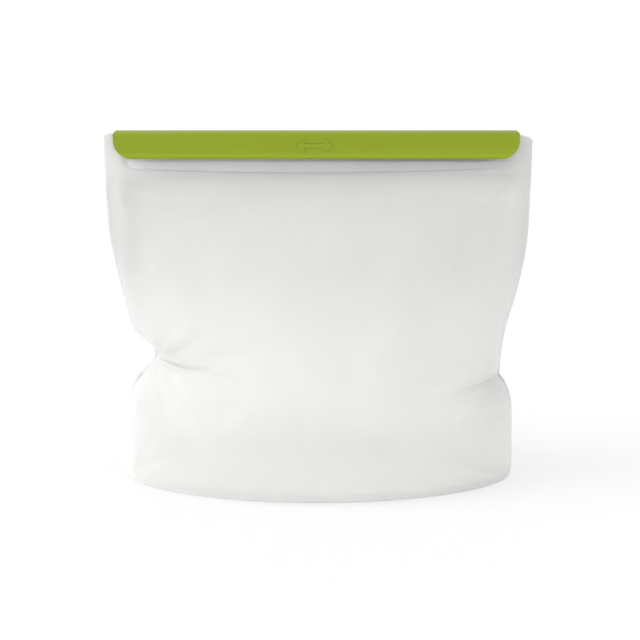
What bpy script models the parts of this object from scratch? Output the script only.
"""Reusable stand-up silicone bag of the one-litre class with a slide-on sealing bar.

Frame: +Z up, +X along the mouth, +Y towards the back wall, origin on the table
under the middle of the mouth. The bag stands on its gusset floor, closed.
Sizes are in millimetres and become metres when a mesh is made.

Pieces
  front_panel, back_panel   bulged silicone sheets, joined along the side seams
  base_gusset               floor sheet that folds up between them at each end
  front_rail, back_rail     thick straight closure strips on the mouth
  front_zip_rib             strip with two mushroom ribs, inside the front rail
  back_zip_channel          strip with two grooves that the ribs press into
  slide_bar                 rigid C-section bar that slides over both rails
"""

import math

import bmesh
import bpy
from mathutils import Vector

MM = 0.001
FRONT, BACK = -1, 1  # signs of Y
LEFT, RIGHT = -1, 1  # signs of X

# ---------------------------------------------------------------- dimensions
SHEET = 1.2  # thickness of the silicone sheets
GAP = 0.3  # clearance between neighbouring pieces
OVERLAP = 0.5  # how far an added shape reaches into its rail
SHARP_ANGLE = 40  # degrees between faces that shade as an edge

MOUTH_HALF = 106.5  # half of the mouth's width, seam to seam
TOP_Z = 180.0  # top of the sealing bar
PANEL_TOP_Z = 159.0  # where the sheets end and the rails begin

# Sealing bar, a C section open at the bottom
BAR_LENGTH = 200.6
BAR_OFFSET_X = -0.8
BAR_HEIGHT = 12.7
BAR_BOTTOM_Z = TOP_Z - BAR_HEIGHT
BAR_HALF_DEPTH = 5.9
BAR_WALL = 1.5
BAR_ROOF = 1.5
BAR_LOWER_RADIUS = 8.8
BAR_UPPER_RADIUS = 1.4
BAR_EDGE_ROUND = 1.3
BAR_FOOT_INSET = BAR_WALL * 0.45  # bevels on the cheeks' lower edges
BAR_FOOT_OUTER_RISE = 0.9
BAR_FOOT_INNER_RISE = 0.5
BAR_LIP_REACH = 1.2  # how far the retaining lips stand in from the cheeks
BAR_LIP_TOP = 172.0
BAR_LIP_BOTTOM = 169.8
BAR_LIP_BEVEL = 0.8
BAR_CUT_MARGIN = 1.0  # spare size round the bar's trimmed ends
BAR_CUTTER_HALF_DEPTH = 9.0

# Mouth rails; inner and outer faces are measured from the plane y = 0
RAIL_INNER = 1.6
RAIL_OUTER = 2.9
RAIL_BOTTOM_Z = PANEL_TOP_Z + GAP
RAIL_TOP_Z = TOP_Z - BAR_ROOF - GAP
RAIL_CORNER = 3.0
RAIL_CUTTER_HALF_DEPTH = 8.0
TAB_LENGTH = 6.0  # solid end of each rail, past the zip
BEAD_REACH = 1.2
BEAD_BOTTOM_Z = 172.4
BEAD_TOP_Z = 175.8
BEAD_SLOPE = 1.4  # fall of the bead's top from the rail to its tip
BEAD_HALF = 99.5

# Press zip inside the mouth
ZIP_HALF = 98.5
ZIP_Z = (165.4, 169.9)  # heights of the two ribs
ZIP_BOTTOM_Z = 162.6
ZIP_TOP_Z = 172.7
ZIP_ROOT = RAIL_INNER - GAP  # strip faces, measured from the plane y = 0
ZIP_FACE = 0.8
# Half profiles from the strip's face and back, as (y, distance above or below ZIP_Z)
RIB_PROFILE = (
    (-ZIP_FACE, 0.4), (-ZIP_FACE + 0.6, 0.4), (-ZIP_FACE + 0.7, 0.65), (0.5, 0.25),
)
CHANNEL_PROFILE = ((ZIP_FACE, 1.6), (-0.45, 1.6), (-0.45, 0.95), (ZIP_FACE, 0.95))

# Hinge lines that stand in for the walls bending as the mouth opens
LIP_HINGE_Y = 8.0
LIP_HINGE_Z = 85.0

# Design sections of the filled bag, each as (height, value)
# Half-width of the outline on each side
LEFT_EDGE = (
    (0, 97.4), (4, 99.4), (10, 100.4), (24, 100.2), (37, 99.1), (44, 98.0), (49, 96.4),
    (54, 93.5), (59, 89.0), (65, 84.9), (70, 87.0), (77, 94.1), (83, 97.1), (90, 98.8),
    (107, 102.3), (124, 105.0), (132, 105.8), (140, 106.2), (152, 106.4), (160, MOUTH_HALF),
)
RIGHT_EDGE = (
    (0, 98.4), (4, 100.4), (10, 101.4), (24, 101.4), (37, 101.0), (44, 100.2), (49, 98.4),
    (52, 96.2), (55, 94.4), (58, 94.7), (64, 95.2), (72, 96.0), (80, 97.6), (90, 100.0),
    (107, 103.7), (124, 106.0), (140, 106.4), (152, 106.4), (160, MOUTH_HALF),
)
EDGE_HALF = {LEFT: LEFT_EDGE, RIGHT: RIGHT_EDGE}
# Distance of each sheet's middle from the plane y = 0
HALF_DEPTH = (
    (0, 45.3), (8, 47.0), (20, 47.6), (40, 46.2), (60, 43.5), (84, 38.5), (105, 32.5),
    (125, 24.5), (142, 15.0), (152, 7.2), (PANEL_TOP_Z, RAIL_OUTER),
)
# Half of the gap between the front and back sheets at their side edges
EDGE_SPREAD = (
    (0, 5.6), (16, 6.4), (32, 6.2), (43, 5.0), (50, 3.6), (55, 2.3), (59, 1.45),
    (138, 1.45), (152, 2.2), (PANEL_TOP_Z, RAIL_OUTER),
)
# Roundness of a level section: 1 is an ellipse, 2 a pointed lens
LENS = ((0, 1.2), (32, 1.15), (58, 1.25), (84, 1.5), (127, 1.8), (PANEL_TOP_Z, 2.0))
# Turn of the side flange in degrees, from flat at the mouth to wrapped round at the floor
FLANGE_TURN = (
    (0, 78.0), (27, 70.0), (45, 40.0), (58, 12.0), (66, 0.0), (PANEL_TOP_Z, 0.0),
)
FLANGE = 4.0  # width of the side flange

GUSSET_APEX_Z = 49.0
GUSSET_FLOOR_HALF = 68.0
GUSSET_SETBACK = SHEET + 0.9  # from the panels' outer faces
GUSSET_FOLD_INSET = 2.5  # from the gusset's edge in to the top of its fold
GUSSET_FOLD_POWER = 1.25  # curve of the fold's rise; 1 is straight

# Mesh steps
PANEL_COLUMNS = 22
PANEL_ROWS = 22
GUSSET_RISE_STEPS = 9
GUSSET_FLOOR_STEPS = 22
GUSSET_HALF_COLUMNS = 4
BAR_EDGE_STEPS = 3
BAR_CORNER_STEPS = 8
RAIL_CORNER_STEPS = 4


# ------------------------------------------------------------ the bag's form
def slope_at(points, i):
    """Slope of the section curve at point i, level where the values turn."""
    before, after = points[max(i - 1, 0)], points[min(i + 1, len(points) - 1)]
    if 0 < i < len(points) - 1:
        value = points[i][1]
        if (value - before[1]) * (after[1] - value) <= 0:
            return 0.0
    return (after[1] - before[1]) / (after[0] - before[0])


def section(points, z):
    """Value at height z of a smooth curve through (height, value) points."""
    if z <= points[0][0]:
        return points[0][1]
    if z >= points[-1][0]:
        return points[-1][1]
    upper = next(i for i, point in enumerate(points) if z <= point[0])
    z0, value0 = points[upper - 1]
    z1, value1 = points[upper]
    span = z1 - z0
    t = (z - z0) / span
    # cubic Hermite blend of the two values and their slopes
    return (
        value0 * (2 * t**3 - 3 * t**2 + 1)
        + value1 * (3 * t**2 - 2 * t**3)
        + span * slope_at(points, upper - 1) * (t**3 - 2 * t**2 + t)
        + span * slope_at(points, upper) * (t**3 - t**2)
    )


def flange_points(side, z):
    """(edge point, inner end of the flange, outward normal) in plan, front sheet."""
    turn = math.radians(section(FLANGE_TURN, z))
    half = section(EDGE_HALF[side], z)
    spread = section(EDGE_SPREAD, z)
    edge = Vector((side * half, -spread))
    inner = Vector((
        side * (half - FLANGE * math.cos(turn)),
        -(spread + FLANGE * math.sin(turn)),
    ))
    normal = Vector((side * math.sin(turn), -math.cos(turn)))
    return edge, inner, normal


def bulge(degrees, z):
    """Plan point of the front sheet at an angle of -90 to 90 degrees across."""
    angle = math.radians(degrees)
    across = math.sin(angle)
    fullness = max(math.cos(angle), 0.0) ** section(LENS, z)
    _, inner, _ = flange_points(RIGHT if across >= 0 else LEFT, z)
    depth = section(HALF_DEPTH, z)
    return Vector((abs(across) * inner.x, inner.y - (depth + inner.y) * fullness))


# ------------------------------------------------------------ object helpers
def material(name, colour, roughness, alpha=1.0):
    made = bpy.data.materials.new(name)
    made.use_nodes = True
    made.diffuse_color = (*colour, alpha)
    shader = made.node_tree.nodes["Principled BSDF"]
    shader.inputs["Base Color"].default_value = (*colour, 1.0)
    shader.inputs["Roughness"].default_value = roughness
    shader.inputs["Alpha"].default_value = alpha
    return made


def empty(name, x, y, z):
    made = bpy.data.objects.new(name, None)
    bpy.context.scene.collection.objects.link(made)
    made.location = (x * MM, y * MM, z * MM)
    return made


def mesh_object(name, bm, parent):
    """Turns a bmesh built in millimetres into an object on its parent's origin."""
    bmesh.ops.scale(bm, vec=(MM, MM, MM), verts=bm.verts)
    bmesh.ops.translate(bm, vec=-parent.location, verts=bm.verts)
    bmesh.ops.recalc_face_normals(bm, faces=bm.faces)
    mesh = bpy.data.meshes.new(name)
    bm.to_mesh(mesh)
    bm.free()
    made = bpy.data.objects.new(name, mesh)
    bpy.context.scene.collection.objects.link(made)
    made.parent = parent
    return made


def piece(name, bm, coat, parent):
    made = mesh_object(name, bm, parent)
    made.data.shade_smooth()
    made.data.set_sharp_from_angle(angle=math.radians(SHARP_ANGLE))
    made.data.materials.append(coat)
    return made


def boolean(target, name, bm, operation):
    """Applies a hidden helper shape to the target with a Boolean modifier."""
    shape = mesh_object(name, bm, target.parent)
    shape.hide_render = True
    shape.display_type = "WIRE"
    step = target.modifiers.new(f"{operation.lower()}_{name}", "BOOLEAN")
    step.operation = operation
    step.solver = "EXACT"
    step.object = shape


# ------------------------------------------------------------- shape helpers
def prism(points, offset):
    """Extrudes a closed loop of 3D points by an offset."""
    bm = bmesh.new()
    face = bm.faces.new([bm.verts.new(point) for point in points])
    grown = bmesh.ops.extrude_face_region(bm, geom=[face])
    moved = [v for v in grown["geom"] if isinstance(v, bmesh.types.BMVert)]
    bmesh.ops.translate(bm, vec=offset, verts=moved)
    return bm


def prism_x(outline, x0, x1):
    """Extrudes a closed (y, z) outline along X."""
    return prism([(x0, y, z) for y, z in outline], (x1 - x0, 0, 0))


def prism_y(outline, half_depth):
    """Extrudes a closed (x, z) outline along Y, the same amount to each side."""
    return prism([(x, -half_depth, z) for x, z in outline], (0, 2 * half_depth, 0))


def arc(centre_x, centre_z, radius, start, steps):
    """Quarter circle from the start angle, in degrees; one point if the radius is 0."""
    if not radius:
        return [(centre_x, centre_z)]
    angles = [math.radians(start + 90 * i / steps) for i in range(steps + 1)]
    return [
        (centre_x + radius * math.cos(angle), centre_z + radius * math.sin(angle))
        for angle in angles
    ]


def rounded_plate(x0, x1, z0, z1, low, high, steps):
    """(x, z) outline of a plate with its own lower and upper corner radii."""
    return (
        arc(x0 + low, z0 + low, low, 180, steps)
        + arc(x1 - low, z0 + low, low, 270, steps)
        + arc(x1 - high, z1 - high, high, 0, steps)
        + arc(x0 + high, z1 - high, high, 90, steps)
    )


def sheet_solid(grid):
    """Closes a grid of (outer point, inner point) pairs into one solid sheet."""
    bm = bmesh.new()
    outer = [[bm.verts.new(pair[0]) for pair in row] for row in grid]
    inner = [[bm.verts.new(pair[1]) for pair in row] for row in grid]
    rows, columns = len(grid), len(grid[0])
    for i in range(rows - 1):
        for j in range(columns - 1):
            for skin, order in ((outer, 1), (inner, -1)):
                quad = [skin[i][j], skin[i][j + 1], skin[i + 1][j + 1], skin[i + 1][j]]
                bm.faces.new(quad[::order])
    rim = [(0, j) for j in range(columns)]
    rim += [(i, columns - 1) for i in range(1, rows)]
    rim += [(rows - 1, j) for j in range(columns - 2, -1, -1)]
    rim += [(i, 0) for i in range(rows - 2, 0, -1)]
    for (i, j), (m, n) in zip(rim, rim[1:] + rim[:1]):
        bm.faces.new([outer[i][j], inner[i][j], inner[m][n], outer[m][n]])
    return bm


def with_thickness(points, inward):
    """Pairs each grid point with one a sheet's thickness away along the normal.

    inward(point) gives a rough direction that picks which side is thickened.
    """
    last_row, last_column = len(points) - 1, len(points[0]) - 1
    grid = []
    for i, line in enumerate(points):
        row = []
        for j, point in enumerate(line):
            across = line[min(j + 1, last_column)] - line[max(j - 1, 0)]
            along = points[min(i + 1, last_row)][j] - points[max(i - 1, 0)][j]
            normal = across.cross(along)
            normal = normal.normalized() if normal.length > 1e-9 else Vector((0, 0, 1))
            if normal.dot(inward(point)) < 0:
                normal = -normal
            row.append((point, point + normal * SHEET))
        grid.append(row)
    return grid


# -------------------------------------------------------------------- panels
def panel_inward(point):
    """Towards the middle of the bag, mostly along Y."""
    return Vector((-point.x * 0.4, -point.y - 0.5, 0.0))


def panel(name, side, coat, parent):
    """The front or back sheet, from the floor to its rail."""
    points = []
    for i in range(PANEL_ROWS + 1):
        z = PANEL_TOP_Z * i / PANEL_ROWS
        plan = [flange_points(LEFT, z)[0]]
        plan += [bulge(-90 + 180 * j / PANEL_COLUMNS, z) for j in range(PANEL_COLUMNS + 1)]
        plan.append(flange_points(RIGHT, z)[0])
        points.append([Vector((p.x, p.y, z)) for p in plan])
    grid = with_thickness(points, panel_inward)
    # the first and last rows keep their heights, so the sheet stands flat on its edge
    for row in (grid[0], grid[-1]):
        for j, (outer, inner) in enumerate(row):
            level = Vector((inner.x - outer.x, inner.y - outer.y, 0)).normalized()
            row[j] = (outer, outer + level * SHEET)
    # the front sheet was built; the back one is its mirror image
    grid = [
        [[Vector((p.x, -side * p.y, p.z)) for p in pair] for pair in row] for row in grid
    ]
    return piece(name, sheet_solid(grid), coat, parent)


# -------------------------------------------------------------------- gusset
def gusset_boundary(side, z):
    """Plan point just inside the front sheet's flange, at height z."""
    edge, inner, normal = flange_points(side, z)
    return (edge + inner) / 2 - normal * GUSSET_SETBACK


def gusset_rise(side):
    """(front edge, centre line) points of one folded end, from its top downwards."""
    tip = gusset_boundary(side, GUSSET_APEX_Z)
    floor_x = side * GUSSET_FLOOR_HALF
    run = tip.x - side * (GUSSET_FLOOR_HALF + GUSSET_FOLD_INSET)
    pairs = []
    for i in range(GUSSET_RISE_STEPS):
        rise = 1 - i / GUSSET_RISE_STEPS
        z = GUSSET_APEX_Z * rise
        edge = gusset_boundary(side, z)
        fold_z = GUSSET_APEX_Z * rise**GUSSET_FOLD_POWER
        pairs.append((
            Vector((edge.x, edge.y, z)),
            Vector((floor_x + run * rise, 0, fold_z)),
        ))
    return pairs


def gusset_floor():
    """(front edge, centre line) points of the flat floor, from left to right."""
    pairs = []
    for i in range(GUSSET_FLOOR_STEPS + 1):
        across = -1 + 2 * i / GUSSET_FLOOR_STEPS
        if i in (0, GUSSET_FLOOR_STEPS):
            edge = gusset_boundary(LEFT if i == 0 else RIGHT, 0)
        else:
            # follow the panel's lower edge, a setback inside it
            here = bulge(90 * across, 0)
            along = (bulge(90 * across + 1, 0) - here).normalized()
            edge = here + Vector((-along.y, along.x)) * GUSSET_SETBACK
        pairs.append((
            Vector((edge.x, edge.y, 0)),
            Vector((GUSSET_FLOOR_HALF * across, 0, 0)),
        ))
    return pairs


def gusset_inward(point):
    """Upwards, leaning towards the middle on the raised ends."""
    return Vector((-point.x * 0.012 if point.z > 1 else 0, 0, 1))


def gusset(coat, parent):
    """Floor sheet. Its ends fold up into a V between the two side edges."""
    points = []
    for edge, centre in gusset_rise(LEFT) + gusset_floor() + gusset_rise(RIGHT)[::-1]:
        half = [edge.lerp(centre, k / GUSSET_HALF_COLUMNS) for k in range(GUSSET_HALF_COLUMNS)]
        back = [Vector((p.x, -p.y, p.z)) for p in reversed(half)]
        points.append(half + [centre] + back)
    grid = with_thickness(points, gusset_inward)
    # the part on the table is thickened straight up
    for row in grid:
        for j, (outer, _) in enumerate(row):
            if outer.z < 0.01:
                row[j] = (outer, Vector((outer.x, outer.y, SHEET)))
    return piece("base_gusset", sheet_solid(grid), coat, parent)


# --------------------------------------------------------------------- mouth
def rail_block(side, near, far, x0, x1):
    """Full-height block between two distances from the plane y = 0."""
    outline = (
        (side * near, RAIL_BOTTOM_Z),
        (side * far, RAIL_BOTTOM_Z),
        (side * far, RAIL_TOP_Z),
        (side * near, RAIL_TOP_Z),
    )
    return prism_x(outline, x0, x1)


def rail(name, side, coat, parent):
    """Mouth rail with its bead outside and a solid tab at each end."""
    plate = rail_block(side, RAIL_INNER, RAIL_OUTER, -MOUTH_HALF, MOUTH_HALF)
    made = piece(name, plate, coat, parent)

    root = side * (RAIL_OUTER - OVERLAP)
    tip = side * (RAIL_OUTER + BEAD_REACH)
    bead = (
        (root, BEAD_BOTTOM_Z),
        (tip, BEAD_BOTTOM_Z),
        (tip, BEAD_TOP_Z - BEAD_SLOPE),
        (root, BEAD_TOP_Z),
    )
    boolean(made, f"{name}_bead", prism_x(bead, -BEAD_HALF, BEAD_HALF), "UNION")

    for end, x0 in (("left", -MOUTH_HALF), ("right", MOUTH_HALF - TAB_LENGTH)):
        tab = rail_block(side, GAP / 2, RAIL_INNER + OVERLAP, x0, x0 + TAB_LENGTH)
        boolean(made, f"{name}_{end}_tab", tab, "UNION")

    corners = rounded_plate(
        -MOUTH_HALF, MOUTH_HALF, RAIL_BOTTOM_Z, RAIL_TOP_Z,
        low=0, high=RAIL_CORNER, steps=RAIL_CORNER_STEPS,
    )
    keep = prism_y(corners, RAIL_CUTTER_HALF_DEPTH)
    boolean(made, f"{name}_corners", keep, "INTERSECT")
    return made


def zip_strip(name, side, profile, coat, parent):
    """Strip inside a rail, with the half profile mirrored about each zip height."""
    root, face = side * ZIP_ROOT, side * ZIP_FACE
    outline = [(root, ZIP_BOTTOM_Z), (face, ZIP_BOTTOM_Z)]
    for z in ZIP_Z:
        outline += [(y, z - rise) for y, rise in profile]
        outline += [(y, z + rise) for y, rise in reversed(profile)]
    outline += [(face, ZIP_TOP_Z), (root, ZIP_TOP_Z)]
    return piece(name, prism_x(outline, -ZIP_HALF, ZIP_HALF), coat, parent)


def slide_bar(coat, parent):
    """C-section bar: a roof, two cheeks and two lips that hook under the beads."""
    outer = BAR_HALF_DEPTH
    inner = outer - BAR_WALL
    lip = inner - BAR_LIP_REACH
    radius = BAR_EDGE_ROUND
    outside = [(outer - BAR_FOOT_INSET, BAR_BOTTOM_Z), (outer, BAR_BOTTOM_Z + BAR_FOOT_OUTER_RISE)]
    outside += arc(outer - radius, TOP_Z - radius, radius, 0, BAR_EDGE_STEPS)
    inside = [
        (inner, BAR_BOTTOM_Z + BAR_FOOT_INNER_RISE),
        (inner, BAR_LIP_BOTTOM),
        (lip, BAR_LIP_BOTTOM + BAR_LIP_BEVEL),
        (lip, BAR_LIP_TOP),
        (inner, BAR_LIP_TOP),
        (inner, TOP_Z - BAR_ROOF),
    ]
    outline = (
        outside
        + [(-y, z) for y, z in reversed(outside)]
        + [(-y, z) for y, z in inside]
        + inside[::-1]
    )
    x0, x1 = BAR_OFFSET_X - BAR_LENGTH / 2, BAR_OFFSET_X + BAR_LENGTH / 2
    blank = prism_x(outline, x0 - BAR_CUT_MARGIN, x1 + BAR_CUT_MARGIN)
    made = piece("slide_bar", blank, coat, parent)
    ends = rounded_plate(
        x0, x1, BAR_BOTTOM_Z, TOP_Z + BAR_CUT_MARGIN,
        low=BAR_LOWER_RADIUS, high=BAR_UPPER_RADIUS + BAR_CUT_MARGIN, steps=BAR_CORNER_STEPS,
    )
    boolean(made, "slide_bar_ends", prism_y(ends, BAR_CUTTER_HALF_DEPTH), "INTERSECT")
    return made


def build():
    for old in list(bpy.data.objects):
        bpy.data.objects.remove(old, do_unlink=True)
    silicone = material("frosted_silicone", (0.86, 0.87, 0.86), roughness=0.55, alpha=0.6)
    firm = material("firm_silicone", (0.82, 0.83, 0.83), roughness=0.5, alpha=0.8)
    green = material("green_plastic", (0.30, 0.38, 0.035), roughness=0.35)

    pouch = empty("pouch_frame", 0, 0, 0)
    front_hinge = empty("front_lip_hinge", 0, -LIP_HINGE_Y, LIP_HINGE_Z)
    back_hinge = empty("back_lip_hinge", 0, LIP_HINGE_Y, LIP_HINGE_Z)
    bar_axis = empty("bar_slide_axis", BAR_OFFSET_X, 0, TOP_Z - BAR_HEIGHT / 2)

    panel("front_panel", FRONT, silicone, pouch)
    panel("back_panel", BACK, silicone, pouch)
    gusset(silicone, pouch)
    rail("front_rail", FRONT, firm, front_hinge)
    rail("back_rail", BACK, firm, back_hinge)
    zip_strip("front_zip_rib", FRONT, RIB_PROFILE, firm, front_hinge)
    zip_strip("back_zip_channel", BACK, CHANNEL_PROFILE, firm, back_hinge)
    slide_bar(green, bar_axis)


build()
